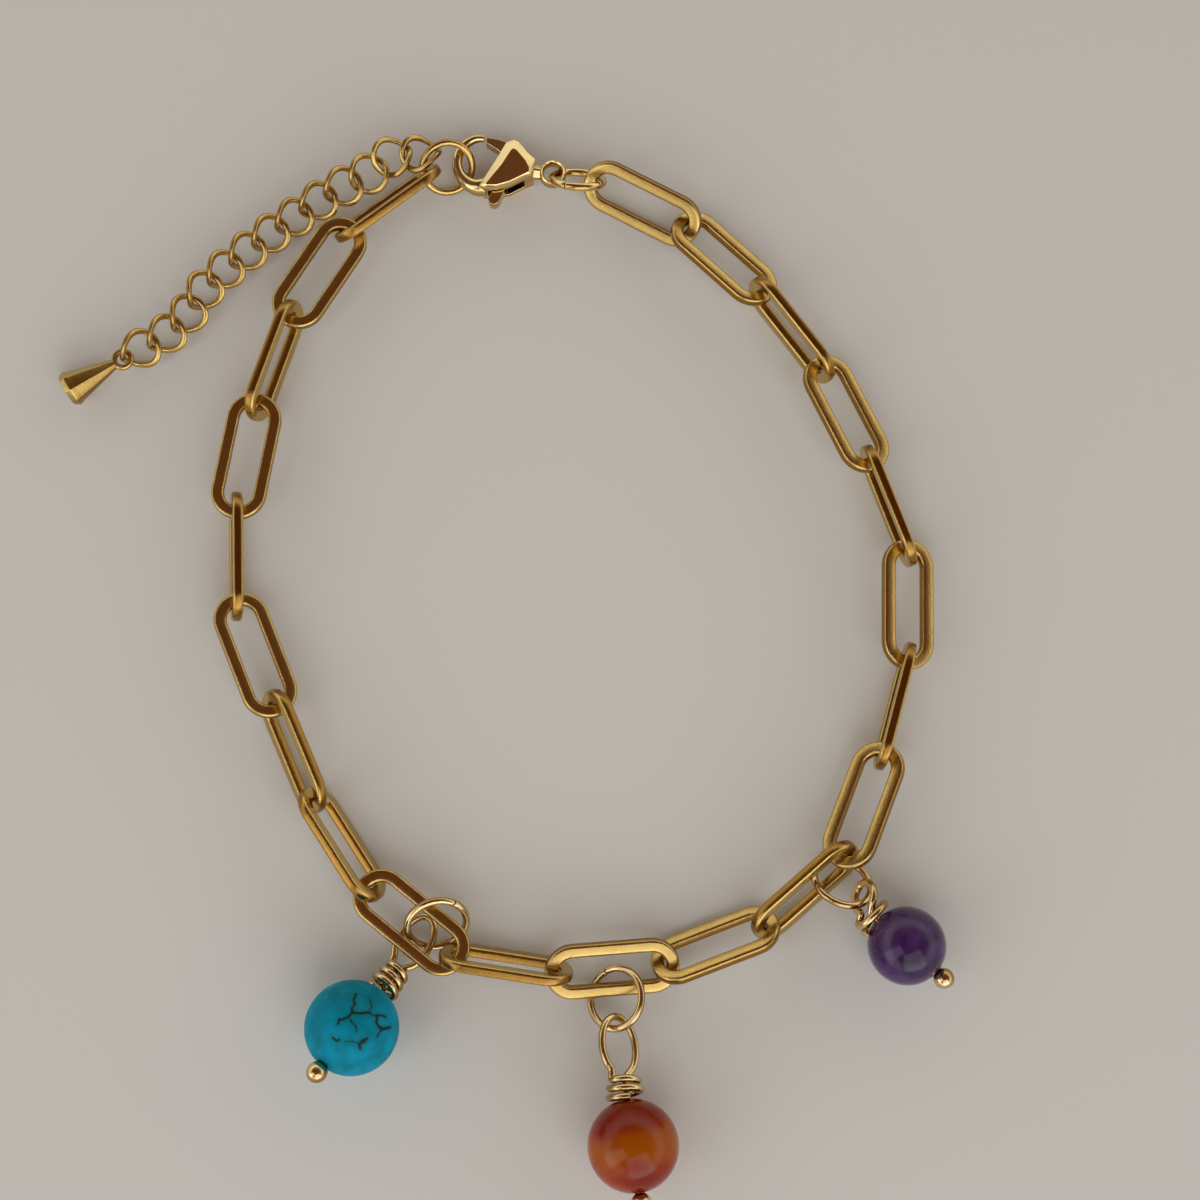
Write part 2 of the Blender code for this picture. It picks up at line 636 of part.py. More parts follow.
def charm_pin_frame(charm, ring_frame, far_inside):
    """Frame of the head pin: its loop hangs on the ring and its bead rests on the surface."""
    clock = math.radians(charm["clock"])
    spoke = Vector((math.cos(clock), math.sin(clock), 0.0))
    level, sloped = ring_frame.col[0].xyz, ring_frame.col[1].xyz
    in_ring = Vector((spoke.dot(level), spoke.dot(sloped), 0.0)).normalized()
    held = ring_frame @ (in_ring * (CHARM_RING_DIAMETER - CHARM_WIRE) / 2)
    hold = far_inside - Vector((CHARM_WIRE / 2 + charm["slack"], 0.0, 0.0))
    heading_turn = math.radians(charm["heading"])
    flat_heading = Vector((math.cos(heading_turn), math.sin(heading_turn), 0.0))
    rest = charm["bead"] / 2 + REST_GAP

    def hung(tilt):
        way = flat_heading * math.cos(tilt) + UP * math.sin(tilt)
        frame = lying_frame(Vector(), way, charm["loop_roll"])
        frame.translation = held - frame.to_3x3() @ hold
        return frame

    low, high = math.radians(-60.0), math.radians(60.0)
    for _ in range(40):
        middle = (low + high) / 2
        if hung(middle).translation.z > rest:
            low = middle
        else:
            high = middle
    return hung(high)


for name, charm in CHARMS.items():
    bead_radius = charm["bead"] / 2
    ring_frame = charm_ring_frame(charm)
    ring = torus((CHARM_RING_DIAMETER - CHARM_WIRE) / 2, CHARM_WIRE / 2, 16, 6)
    keep(ring, f"{name}_ring", (WIRE_GOLD, 0.2, 1.0))
    ring.matrix_world = ring_frame

    points, ball_middle, far_inside = charm_pin_points(charm)
    frame = charm_pin_frame(charm, ring_frame, far_inside)
    pin = tube(f"{name}_pin", points, CHARM_WIRE / 2)
    bpy.ops.mesh.primitive_uv_sphere_add(segments=10, ring_count=8, radius=PIN_BALL_DIAMETER / 2)
    ball = bpy.context.active_object
    ball.data.transform(Matrix.Translation((ball_middle, 0.0, 0.0)) @ Matrix.Rotation(math.pi / 2, 4, "Y"))
    combine(pin, ball, "UNION")
    keep(pin, f"{name}_pin", (WIRE_GOLD, 0.18, 1.0))
    pin.matrix_world = frame

    bpy.ops.mesh.primitive_uv_sphere_add(segments=16, ring_count=12, radius=bead_radius)
    bead = bpy.context.active_object
    drill = cylinder("drill", CHARM_WIRE / 2 + BEAD_HOLE_CLEARANCE, -2 * bead_radius, 2 * bead_radius, 8)
    combine(bead, drill, "DIFFERENCE")
    bead.data.transform(Matrix.Rotation(math.pi / 2, 4, "Y"))
    keep(bead, f"{name}_bead", (charm["colour"], charm["roughness"], 0.0))
    bead.matrix_world = frame

# The origin goes to the middle of the box, on the surface
bpy.context.view_layer.update()
corners = [
    piece.matrix_world @ vertex.co for piece in parts.objects for vertex in piece.data.vertices
]
middle_x = (min(corner.x for corner in corners) + max(corner.x for corner in corners)) / 2
middle_y = (min(corner.y for corner in corners) + max(corner.y for corner in corners)) / 2
bracelet.location = (-middle_x, -middle_y, -min(corner.z for corner in corners))
bpy.context.view_layer.update()
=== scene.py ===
"""Birthstone bracelet: gold paperclip links, a lobster clasp, an extender and three bead charms.

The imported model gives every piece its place. This script gives each one its drawn, cast or cut form
and its finish, in metres and in the model's own frame: +Z up, +Y to the clasp.
"""
import json
import math

import bmesh
import bpy
import numpy as np
from mathutils import Matrix, Vector


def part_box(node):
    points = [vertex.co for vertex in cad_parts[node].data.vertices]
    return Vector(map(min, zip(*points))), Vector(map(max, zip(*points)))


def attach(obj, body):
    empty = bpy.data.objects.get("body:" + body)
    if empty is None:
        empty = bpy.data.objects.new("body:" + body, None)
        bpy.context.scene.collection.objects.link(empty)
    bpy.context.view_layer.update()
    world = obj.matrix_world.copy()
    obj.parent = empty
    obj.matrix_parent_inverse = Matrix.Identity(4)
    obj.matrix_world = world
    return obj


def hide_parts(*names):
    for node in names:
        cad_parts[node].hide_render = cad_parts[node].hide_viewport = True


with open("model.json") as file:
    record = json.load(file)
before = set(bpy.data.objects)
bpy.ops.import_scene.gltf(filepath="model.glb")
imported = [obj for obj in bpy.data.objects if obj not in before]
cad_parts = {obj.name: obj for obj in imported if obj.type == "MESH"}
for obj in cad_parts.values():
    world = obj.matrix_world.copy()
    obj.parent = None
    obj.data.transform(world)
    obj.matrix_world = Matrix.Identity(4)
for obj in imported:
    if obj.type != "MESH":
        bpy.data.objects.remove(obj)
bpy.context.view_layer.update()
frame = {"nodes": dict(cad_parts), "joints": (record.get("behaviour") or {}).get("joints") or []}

MM = 0.001

# Camera: held close above the bracelet and tipped ten degrees towards the charms,
# so that the charms' side of the loop is a little nearer than the clasp's.
VIEW_ELEVATION = math.radians(80.0)
VIEW_DISTANCE = 140.96 * MM
VIEW_ANGLE = math.radians(33.0)
VIEW_CENTRE = Vector((7.27, 3.58, 0.0)) * MM
NEAREST_SEEN = 5.0 * MM

camera_data = bpy.data.cameras.new("camera")
camera_data.angle = VIEW_ANGLE
camera_data.clip_start = NEAREST_SEEN
camera = bpy.data.objects.new("camera", camera_data)
bpy.context.scene.collection.objects.link(camera)
towards_viewer = Vector((0.0, -math.cos(VIEW_ELEVATION), math.sin(VIEW_ELEVATION)))
camera.location = VIEW_CENTRE + towards_viewer * VIEW_DISTANCE
camera.rotation_euler = (math.pi / 2 - VIEW_ELEVATION, 0.0, 0.0)
bpy.context.scene.camera = camera
bpy.context.scene.view_settings.view_transform = "Standard"


# Paperclip links: flattened brass bar bent round a mandrel, welded mid-rail, tumbled and gold plated.
# The faces are satin. The sides are browner: painted shade, set by how far each surface faces sideways.
LINK_LENGTH = 9.05 * MM
LINK_WIDTH = 3.8 * MM
LINK_BAR = 0.88 * MM
LINK_THICKNESS = 0.72 * MM
LINK_CORNER = 0.2 * MM
WELD_WIDTH = 0.09 * MM
LINK_COUNT = 21
CHAIN_GOLD = (0.64, 0.44, 0.15)
# Painted shade: the colour that surfaces facing sideways take.
CHAIN_PAINTED_SHADE = (0.35, 0.185, 0.04)
BRUSHING_DEPTH = 0.02 * MM
DENT_DEPTH = 0.05 * MM
CORNER_STEPS = 3
BEND_STEPS = 20
MERGE_GAP = 0.001 * MM
CLOUD_DARKENING = 0.86
STREAK_ROUGHNESS = (0.75, 1.35)

# Each metal piece wears a patch of one grain: a paperclip link by its number, a jump ring by its width.
GRAIN_STRIDE = (17.0, 5.0, 11.0)
CURB_PATCH = 40
DROP_PATCH = 60
CLASP_PATCH = 70
LEVER_PATCH = 72
PIN_PATCH = 80


def own_frame(node):
    """Where a node lies: its middle, its length along X, its width along Y, its thinnest way along Z."""
    vertices = frame["nodes"][node].data.vertices
    points = np.array(sorted({tuple(round(value, 7) for value in vertex.co) for vertex in vertices}))
    middle = points.mean(axis=0)
    _, ways = np.linalg.eigh(np.cov((points - middle).T))
    long_way = Vector(ways[:, 2])
    thin_way = Vector(ways[:, 0])
    if thin_way.z < 0.0:
        thin_way.negate()
    place = Matrix.Identity(4)
    place.col[0].xyz = long_way
    place.col[1].xyz = thin_way.cross(long_way)
    place.col[2].xyz = thin_way
    place.col[3].xyz = Vector(middle)
    return place


def new_corners(made, kind):
    """The vertices, edges or faces among what a bmesh operator returns."""
    return [item for item in made if isinstance(item, kind)]


def bar_section(work, width, thickness, corner, place):
    """A bar's cross-section: a rounded rectangle, kept as an edge loop. Its width lies along X of place."""
    made = bmesh.ops.create_grid(work, x_segments=1, y_segments=1, size=0.5)
    bmesh.ops.scale(work, vec=(width, thickness, 1.0), verts=made["verts"])
    bmesh.ops.bevel(
        work, geom=made["verts"], offset=corner, segments=CORNER_STEPS, profile=0.5, affect="VERTICES",
        material=-1, offset_type="OFFSET", clamp_overlap=False,
    )
    bmesh.ops.delete(work, geom=work.faces[:], context="FACES_ONLY")
    bmesh.ops.transform(work, matrix=place, verts=work.verts[:])
    return work.verts[:] + work.edges[:]


def push_on(work, section, way):
    """Draw a section along a straight way and return its new end."""
    grown = bmesh.ops.extrude_edge_only(work, edges=new_corners(section, bmesh.types.BMEdge))["geom"]
    corners = new_corners(grown, bmesh.types.BMVert)
    bmesh.ops.translate(work, vec=way, verts=corners)
    ends = set(corners)
    return corners + [
        edge for edge in new_corners(grown, bmesh.types.BMEdge) if ends.issuperset(edge.verts)
    ]


def turn_on(work, section, centre, degrees, steps):
    """Bend a section round an upright axis and return its new end."""
    return bmesh.ops.spin(
        work, geom=section, cent=centre, axis=(0.0, 0.0, 1.0), angle=math.radians(degrees),
        steps=steps, use_merge=False, use_duplicate=False,
    )["geom_last"]


def full_turn(work, section, axis, steps):
    """Turn a section all the way round an axis through the origin and join it to its start."""
    bmesh.ops.spin(
        work, geom=section, cent=(0.0, 0.0, 0.0), axis=axis, angle=2 * math.pi, steps=steps,
        use_merge=True, use_duplicate=False,
    )


def note_surface(work, patch=0.0):
    """Store each corner's own place in millimetres, and how far it faces sideways, for the finish's painted
    shade.
    """
    own = work.verts.layers.float_vector.new("own")
    flank = work.verts.layers.float.new("flank")
    patch_start = Vector([patch * stride for stride in GRAIN_STRIDE])
    work.normal_update()
    for vertex in work.verts:
        vertex[own] = vertex.co / MM + patch_start
        # How far a corner faces sideways, which the finish paints darker as painted shade.
        vertex[flank] = 1.0 - abs(vertex.normal.z)


def seat(work, name, place, finish, body="bracelet", smooth_angle=50.0, flat_faces=False):
    """Put a finished shape where its node lies, give it its finish, and join it to its body."""
    bmesh.ops.transform(work, matrix=place, verts=work.verts[:])
    mesh = bpy.data.meshes.new(name)
    work.to_mesh(mesh)
    work.free()
    mesh.materials.append(finish)
    mesh.shade_smooth()
    mesh.set_sharp_from_angle(angle=math.radians(smooth_angle))
    piece = bpy.data.objects.new(name, mesh)
    bpy.context.scene.collection.objects.link(piece)
    if flat_faces:
        piece.modifiers.new("flat_faces", "WEIGHTED_NORMAL").keep_sharp = True
    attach(piece, body)
    return piece


def nodes_of(name):
    """A new material's node tree, its shader, and a function that adds and joins a node."""
    made = bpy.data.materials.new(name)
    made.use_nodes = True
    tree = made.node_tree
    shader = tree.nodes["Principled BSDF"]

    def add(kind, settings=None, **inputs):
        node = tree.nodes.new(kind)
        for key, value in (settings or {}).items():
            setattr(node, key, value)
        for key, value in inputs.items():
            socket = node.inputs[key.replace("_", " ")]
            if isinstance(value, bpy.types.NodeSocket):
                tree.links.new(value, socket)
            else:
                socket.default_value = value
        return node

    return made, tree, shader, add


def ramp(add, factor, stops):
    """A colour ramp through the given places and colours. Its shader output is returned."""
    node = add("ShaderNodeValToRGB", Fac=factor)
    elements = node.color_ramp.elements
    while len(elements) < len(stops):
        elements.new(0.5)
    for element, (place, colour) in zip(elements, stops):
        element.position = place
        element.color = (*colour, 1.0)
    return node.outputs["Color"]


def gold_finish(name, face, flank, roughness, brushing, dents):
    """Gold plate: uneven in tone, brushed along the piece, browner on the flanks as painted shade, with a few
    fine dents.
    """
    made, tree, shader, add = nodes_of(name)
    own = add("ShaderNodeAttribute", {"attribute_name": "own"}).outputs["Vector"]
    side = add("ShaderNodeAttribute", {"attribute_name": "flank"}).outputs["Fac"]
    clouds = add("ShaderNodeTexNoise", Vector=own, Scale=0.9, Detail=4.0, Roughness=0.6).outputs["Fac"]
    streaks_way = add("ShaderNodeMapping", Vector=own, Scale=(1.2, 22.0, 22.0)).outputs["Vector"]
    streaks = add(
        "ShaderNodeTexNoise", Vector=streaks_way, Scale=1.0, Detail=5.0, Roughness=0.65
    ).outputs["Fac"]
    pits = add("ShaderNodeTexNoise", Vector=own, Scale=5.5, Detail=3.0, Roughness=0.55).outputs["Fac"]

    # Painted shade: surfaces that face sideways are mixed towards the flank colour.
    painted_shade_share = add(
        "ShaderNodeMapRange", {"interpolation_type": "SMOOTHSTEP"}, Value=side,
        From_Min=0.25, From_Max=0.95, To_Min=0.0, To_Max=1.0,
    ).outputs["Result"]
    toned = ramp(add, clouds, [(0.30, tuple(value * CLOUD_DARKENING for value in face)), (0.70, face)])
    plated = add(
        "ShaderNodeMix", {"data_type": "RGBA"}, Factor=painted_shade_share, A=toned, B=(*flank, 1.0)
    ).outputs["Result"]
    tree.links.new(plated, shader.inputs["Base Color"])

    rough = add(
        "ShaderNodeMapRange", Value=streaks, From_Min=0.25, From_Max=0.75,
        To_Min=roughness * STREAK_ROUGHNESS[0], To_Max=roughness * STREAK_ROUGHNESS[1],
    ).outputs["Result"]
    tree.links.new(rough, shader.inputs["Roughness"])
    fine = add("ShaderNodeBump", Height=streaks, Strength=brushing, Distance=BRUSHING_DEPTH).outputs["Normal"]
    dented = add(
        "ShaderNodeBump", Height=pits, Strength=dents, Distance=DENT_DEPTH, Normal=fine
    ).outputs["Normal"]
    tree.links.new(dented, shader.inputs["Normal"])
    shader.inputs["Metallic"].default_value = 1.0
    return made


chain_gold = gold_finish(
    "chain_gold", CHAIN_GOLD, CHAIN_PAINTED_SHADE, roughness=0.20, brushing=0.28, dents=0.28
)

rail = (LINK_WIDTH - LINK_BAR) / 2
straight = (LINK_LENGTH - LINK_WIDTH) / 2
for number in range(1, LINK_COUNT + 1):
    work = bmesh.new()
    stand = Matrix.Translation((WELD_WIDTH / 2, rail, 0.0)) @ Matrix(
        ((0, 0, 1, 0), (1, 0, 0, 0), (0, 1, 0, 0), (0, 0, 0, 1))
    )
    end = bar_section(work, LINK_BAR, LINK_THICKNESS, LINK_CORNER, stand)
    end = push_on(work, end, (straight - WELD_WIDTH / 2, 0.0, 0.0))
    end = turn_on(work, end, (straight, 0.0, 0.0), -180.0, BEND_STEPS)
    end = push_on(work, end, (-2 * straight, 0.0, 0.0))
    end = turn_on(work, end, (-straight, 0.0, 0.0), -180.0, BEND_STEPS)
    end = push_on(work, end, (straight - WELD_WIDTH / 2, 0.0, 0.0))
    push_on(work, end, (WELD_WIDTH, 0.0, 0.0))
    bmesh.ops.remove_doubles(work, verts=work.verts[:], dist=MERGE_GAP)
    bmesh.ops.recalc_face_normals(work, faces=work.faces[:])
    note_surface(work, number)
    node = f"link_{number:02d}"
    link = seat(work, f"{node}_drawn", own_frame(node), chain_gold)
    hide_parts(node)


# Jump rings: round wire coiled on a rod and sawn, so each is cut through once and pressed shut.
# The clasp's ring is polished like the clasp, and the charms' rings are bright light-gold wire.
# Each gold's second colour is painted shade for surfaces that face sideways.
POLISHED_GOLD = (0.88, 0.68, 0.33)
POLISHED_PAINTED_SHADE = (0.54, 0.33, 0.10)
WIRE_GOLD = (0.80, 0.60, 0.31)
WIRE_PAINTED_SHADE = (0.46, 0.28, 0.10)
polished_gold = gold_finish(
    "polished_gold", POLISHED_GOLD, POLISHED_PAINTED_SHADE, roughness=0.08, brushing=0.06, dents=0.15
)
wire_gold = gold_finish("wire_gold", WIRE_GOLD, WIRE_PAINTED_SHADE, roughness=0.11, brushing=0.15, dents=0.2)

RINGS = {
    # node: outer diameter, wire, direction of the cut as degrees seen from above, finish, slot
    "clasp_ring": (4.2 * MM, 0.60 * MM, 250.0, polished_gold, "polished_gold"),
    "end_ring": (4.1 * MM, 0.50 * MM, 200.0, chain_gold, "chain_gold"),
    "turquoise_ring": (4.5 * MM, 0.50 * MM, 68.0, wire_gold, "wire_gold"),
    "carnelian_ring": (4.5 * MM, 0.50 * MM, 120.0, wire_gold, "wire_gold"),
    "amethyst_ring": (4.5 * MM, 0.50 * MM, 158.0, wire_gold, "wire_gold"),
}
RING_CUT = 0.05 * MM
RING_SIDES = 16
RING_STEPS = 72
CUT_ROUNDING = 0.03 * MM
WIRE_END_ROUNDING = 0.2


def wire_section(work, radius, sides, place):
    """A wire's round cross-section as an edge loop, at a place whose Z is the wire's way."""
    made = bmesh.ops.create_circle(work, cap_ends=False, segments=sides, radius=radius, matrix=place)
    return made["verts"] + list({edge for vertex in made["verts"] for edge in vertex.link_edges})


def cap_ends(work, rounding):
    """Close a wire's open ends and take the sharpness off them."""
    open_edges = [edge for edge in work.edges if edge.is_boundary]
    caps = bmesh.ops.holes_fill(work, edges=open_edges, sides=0)["faces"]
    rims = list({edge for cap in caps for edge in cap.edges})
    bmesh.ops.bevel(
        work, geom=rims, offset=rounding, segments=2, profile=0.5, affect="EDGES", material=-1
    )


for node, (diameter, wire, cut_degrees, finish, slot) in RINGS.items():
    place = own_frame(node)
    cut_way = Vector((math.cos(math.radians(cut_degrees)), math.sin(math.radians(cut_degrees)), 0.0))
    normal = place.col[2].xyz
    in_plane = (cut_way - normal * cut_way.dot(normal)).normalized()
    place.col[0].xyz = in_plane
    place.col[1].xyz = normal.cross(in_plane)
    middle_radius = (diameter - wire) / 2
    half_cut = math.degrees(RING_CUT / 2 / middle_radius)
    work = bmesh.new()
    start = (
        Matrix.Rotation(math.radians(half_cut), 4, "Z")
        @ Matrix.Translation((middle_radius, 0.0, 0.0)) @ Matrix.Rotation(-math.pi / 2, 4, "X")
    )
    end = wire_section(work, wire / 2, RING_SIDES, start)
    turn_on(work, end, (0.0, 0.0, 0.0), 360.0 - 2 * half_cut, RING_STEPS)
    bmesh.ops.recalc_face_normals(work, faces=work.faces[:])
    cap_ends(work, CUT_ROUNDING)
    bmesh.ops.recalc_face_normals(work, faces=work.faces[:])
    note_surface(work, diameter / MM)
    ring = seat(work, f"{node}_wire", place, finish)
    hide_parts(node)


# Extender: small curb links, each a ring of soft wire twisted an eighth of a turn either way,
# so that like links nest one through the next. Plated with the chain.
CURB_DIAMETER = 3.05 * MM
CURB_WIRE = 0.42 * MM
CURB_CORNER = CURB_WIRE * 0.36
CURB_STEPS = 48
CURB_TWIST = math.radians(-45.0)
CURB_COUNT = 13

for number in range(1, CURB_COUNT + 1):
    work = bmesh.new()
    middle_radius = (CURB_DIAMETER - CURB_WIRE) / 2
    upright = Matrix.Translation((middle_radius, 0.0, 0.0)) @ Matrix.Rotation(math.pi / 2, 4, "X")
    section = bar_section(work, CURB_WIRE, CURB_WIRE, CURB_CORNER, upright)
    full_turn(work, section, (0.0, 0.0, 1.0), CURB_STEPS)
    bmesh.ops.recalc_face_normals(work, faces=work.faces[:])
    note_surface(work, CURB_PATCH + number)
    for vertex in work.verts:
        vertex.co = Matrix.Rotation(CURB_TWIST * vertex.co.x / (CURB_DIAMETER / 2), 3, "X") @ vertex.co
    node = f"extender_link_{number:02d}"
    link = seat(work, f"{node}_curb", own_frame(node), chain_gold)
    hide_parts(node)


# Drop on the extender's free end: a solid cone cast with its loop, then ground to eight flat facets.
# Satin like the chain, with crisp ridges between the facets. It lies on one facet.
DROP_LENGTH = 3.9 * MM
DROP_DIAMETER = 2.6 * MM
DROP_NECK = 0.7 * MM
DROP_SHOULDER = (0.80, 0.44)
DROP_BELLY = (0.90, 0.50)
DROP_END_SHARE = 0.42
DROP_FACETS = 8
DROP_LOOP_DIAMETER = 1.6 * MM
DROP_LOOP_WIRE = 0.4 * MM
DROP_LOOP_STEPS = 36
DROP_RIDGE = 0.035 * MM
LINK_PLAY = 0.14 * MM
REST_GAP = 0.02 * MM
UP = Vector((0.0, 0.0, 1.0))


def lying_frame(middle, heading, roll=0.0):
    """Where a piece lies: X along its heading, Y its side to the left, raised by roll degrees."""
    along = heading.normalized()
    side = UP.cross(along).normalized()
    raised = side * math.cos(math.radians(roll)) + along.cross(side) * math.sin(math.radians(roll))
    place = Matrix.Identity(4)
    place.col[0].xyz = along
    place.col[1].xyz = raised
    place.col[2].xyz = along.cross(raised)
    place.col[3].xyz = middle
    return place


def full_ring(work, diameter, wire, steps=48, sides=14, height=None):
    """A closed ring of wire round Z. A height makes the wire's section taller than it is wide."""
    upright = Matrix.Translation(((diameter - wire) / 2, 0.0, 0.0)) @ Matrix.Rotation(math.pi / 2, 4, "X")
    before = set(work.verts)
    section = wire_section(work, wire / 2, sides, upright)
    full_turn(work, section, (0.0, 0.0, 1.0), steps)
    made = [vertex for vertex in work.verts if vertex not in before]
    if height:
        bmesh.ops.scale(work, vec=(1.0, 1.0, height / wire), verts=made)
    return made


last_curb = own_frame(f"extender_link_{CURB_COUNT:02d}")
drop_heading = last_curb.col[0].xyz
if drop_heading.x > 0.0:
    drop_heading.negate()
drop_reach = CURB_DIAMETER / 2 - CURB_WIRE + DROP_LOOP_DIAMETER / 2 - DROP_LOOP_WIRE - LINK_PLAY
drop_middle = last_curb.translation + drop_heading * drop_reach
neck_start = DROP_LOOP_DIAMETER / 2 - DROP_LOOP_WIRE / 2
wide_height = DROP_DIAMETER / 2 * math.cos(math.pi / DROP_FACETS) + REST_GAP
dip = math.asin((wide_height - drop_middle.z) / (neck_start + DROP_LENGTH * DROP_BELLY[0]))
drop_heading = drop_heading * math.cos(dip) + UP * math.sin(dip)

work = bmesh.new()
neck_depth = DROP_LENGTH * DROP_SHOULDER[0]
bmesh.ops.create_cone(
    work, cap_ends=True, segments=DROP_FACETS, radius1=DROP_NECK / 2,
    radius2=DROP_DIAMETER * DROP_SHOULDER[1], depth=neck_depth,
    matrix=Matrix.Translation((0.0, 0.0, neck_depth / 2)),
)
work.faces.ensure_lookup_table()
for depth_share, radius_share, start_share in (
    (DROP_BELLY[0], DROP_BELLY[1], DROP_SHOULDER[1]), (1.0, DROP_END_SHARE, DROP_BELLY[1])
):
    wide_end = max(work.faces, key=lambda face: face.calc_center_median().z)
    grown = bmesh.ops.extrude_face_region(work, geom=[wide_end])["geom"]
    rim = new_corners(grown, bmesh.types.BMVert)
    bmesh.ops.delete(work, geom=[wide_end], context="FACES_ONLY")
    spread = radius_share / start_share
    bmesh.ops.scale(work, vec=(spread, spread, 1.0), verts=rim)
    for vertex in rim:
        vertex.co.z = DROP_LENGTH * depth_share
bmesh.ops.bevel(
    work, geom=work.edges[:], offset=DROP_RIDGE, segments=2, profile=0.5, affect="EDGES", material=-1,
    clamp_overlap=True,
)
lay_down = Matrix.Translation((neck_start, 0.0, 0.0)) @ Matrix.Rotation(math.pi / 2, 4, "Y")
half_facet = Matrix.Rotation(math.pi / DROP_FACETS, 4, "Z")
bmesh.ops.transform(work, matrix=lay_down @ half_facet, verts=work.verts[:])
full_ring(work, DROP_LOOP_DIAMETER, DROP_LOOP_WIRE, steps=DROP_LOOP_STEPS)
bmesh.ops.recalc_face_normals(work, faces=work.faces[:])
note_surface(work, DROP_PATCH)
drop = seat(
    work, "extender_drop_cone", lying_frame(drop_middle, drop_heading), chain_gold,
    smooth_angle=25.0,
)
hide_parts("extender_drop")


# Lobster clasp: cast in one with its hook, eye and rivet, polished and plated paler than the chain.
# Two cheeks with broad sloping rims hold the lever. The hook tapers from the cheeks to its tip.
CLASP_THICKNESS = 2.6 * MM
CHEEK_THICKNESS = 0.72 * MM
CHEEK_RISE = 0.34 * MM
CLASP_TURN = -8.16
PIVOT = (-2.95 * MM, 1.05 * MM)
RIVET_DIAMETER = 0.45 * MM
EYE_DIAMETER = 2.0 * MM
EYE_WALL = 0.38 * MM
EYE_HEIGHT = 1.0 * MM
LEVER_CLEARANCE = 0.06 * MM
HOOK_WIDTH = 0.74 * MM
HOOK_HEIGHT = 0.8 * MM
CLASP_EDGE = 0.05 * MM
WEB_SINK = 0.9 * CHEEK_THICKNESS
NECK_SLOPE = 0.30 * MM
EASED_ANGLE = math.radians(12.0)

# Outlines in millimetres from the eye's middle, X from the hook to the eye. Each cheek has a rim
# and, inside it, a flat face.
CHEEK = [
    # rim, face
    ((-3.05, 1.84), (-2.95, 1.00)), ((-3.55, 1.55), (-3.08, 0.86)), ((-4.20, -0.10), (-3.62, -0.35)),
    ((-5.00, -1.95), (-4.50, -1.84)), ((-4.60, -2.15), (-4.42, -1.94)), ((-3.75, -2.08), (-3.75, -1.84)),
    ((-2.85, -1.70), (-2.85, -1.44)), ((-1.95, -1.05), (-1.98, -0.82)), ((-1.30, -0.66), (-1.62, -0.56)),
    ((-1.30, 0.58), (-1.62, -0.34)), ((-1.95, 1.02), (-1.98, 0.24)), ((-2.65, 1.72), (-2.70, 0.90)),
]
BACK_WEB = [(-1.90, -1.02), (-1.30, -0.66), (-1.30, 0.58), (-1.90, 0.98)]
NECK = [(-1.75, -0.62), (-1.30, -0.52), (-0.84, -0.50), (-0.84, 0.50), (-1.30, 0.48), (-1.75, 0.58)]
NECK_RIDGE = [(-1.80, -0.08), (-1.30, -0.06), (-0.84, -0.06), (-0.84, 0.06), (-1.30, 0.06), (-1.80, 0.08)]
HOOK_ROOT = [(-4.36, -0.55), (-4.98, -1.95), (-4.60, -2.14), (-4.36, -2.12)]
HOOK_LINE = [
    # X, Y, share of the hook's width
    (-4.55, -1.60, 1.9), (-5.25, -1.72, 1.7), (-5.95, -1.50, 1.35), (-6.55, -0.98, 1.1),
    (-6.88, -0.25, 1.0), (-6.88, 0.55, 1.0), (-6.58, 1.25, 0.95), (-6.02, 1.76, 0.85),
    (-5.55, 1.92, 0.72), (-5.22, 1.93, 0.62),
]
LEVER_OUTLINE = [
    (-5.05, 1.88), (-4.20, 1.86), (-3.20, 1.66), (-2.55, 1.45), (-2.42, 0.95), (-2.62, 0.55),
    (-2.95, -0.60), (-3.22, -2.05), (-3.48, -2.85), (-3.75, -3.05), (-4.10, -2.98), (-4.27, -2.65),
    (-4.05, -2.05), (-3.62, -0.60), (-3.42, 0.60), (-4.07, 1.03), (-5.03, 1.48),
]


def smooth_route(points, steps):
    """Points on a smooth curve through the given ones, with their further columns carried along."""
    knots = [np.array(point, dtype=float) for point in points]
    route = []
    for index in range(len(knots) - 1):
        before, start = knots[max(index - 1, 0)], knots[index]
        end, after = knots[index + 1], knots[min(index + 2, len(knots) - 1)]
        for step in range(steps):
            share = step / steps
            route.append(0.5 * (
                2 * start + (end - before) * share + (2 * before - 5 * start + 4 * end - after) * share ** 2
                + (3 * start - before - 3 * end + after) * share ** 3
            ))
    route.append(knots[-1])
    return route


def sweep(work, route, radius, sides=14, widths=None, flatten=None):
    """A wire along a route, closed and slightly rounded at both ends."""
    ways = [Vector(route[min(index + 1, len(route) - 1)][:3]) - Vector(route[max(index - 1, 0)][:3])
            for index in range(len(route))]
    turn = ways[0].to_track_quat("Z", "Y")
    before = set(work.verts)
    section = None
    last = None
    for index, way in enumerate(ways):
        turn = (turn @ UP).rotation_difference(way) @ turn
        share = widths[index] if widths else 1.0
        place = (
            Matrix.Translation(Vector(route[index][:3])) @ turn.to_matrix().to_4x4() @ Matrix.Scale(share, 4)
        )
        if section is None:
            section = wire_section(work, radius, sides, place)
        else:
            section = push_on(work, section, (0.0, 0.0, 0.0))
            rim = new_corners(section, bmesh.types.BMVert)
            bmesh.ops.transform(work, matrix=place @ last.inverted(), verts=rim)
        last = place
    cap_ends(work, radius * WIRE_END_ROUNDING)
    made = [vertex for vertex in work.verts if vertex not in before]
    if flatten:
        middle, share = flatten
        for vertex in made:
            vertex.co.z = middle + (vertex.co.z - middle) * share
    return made


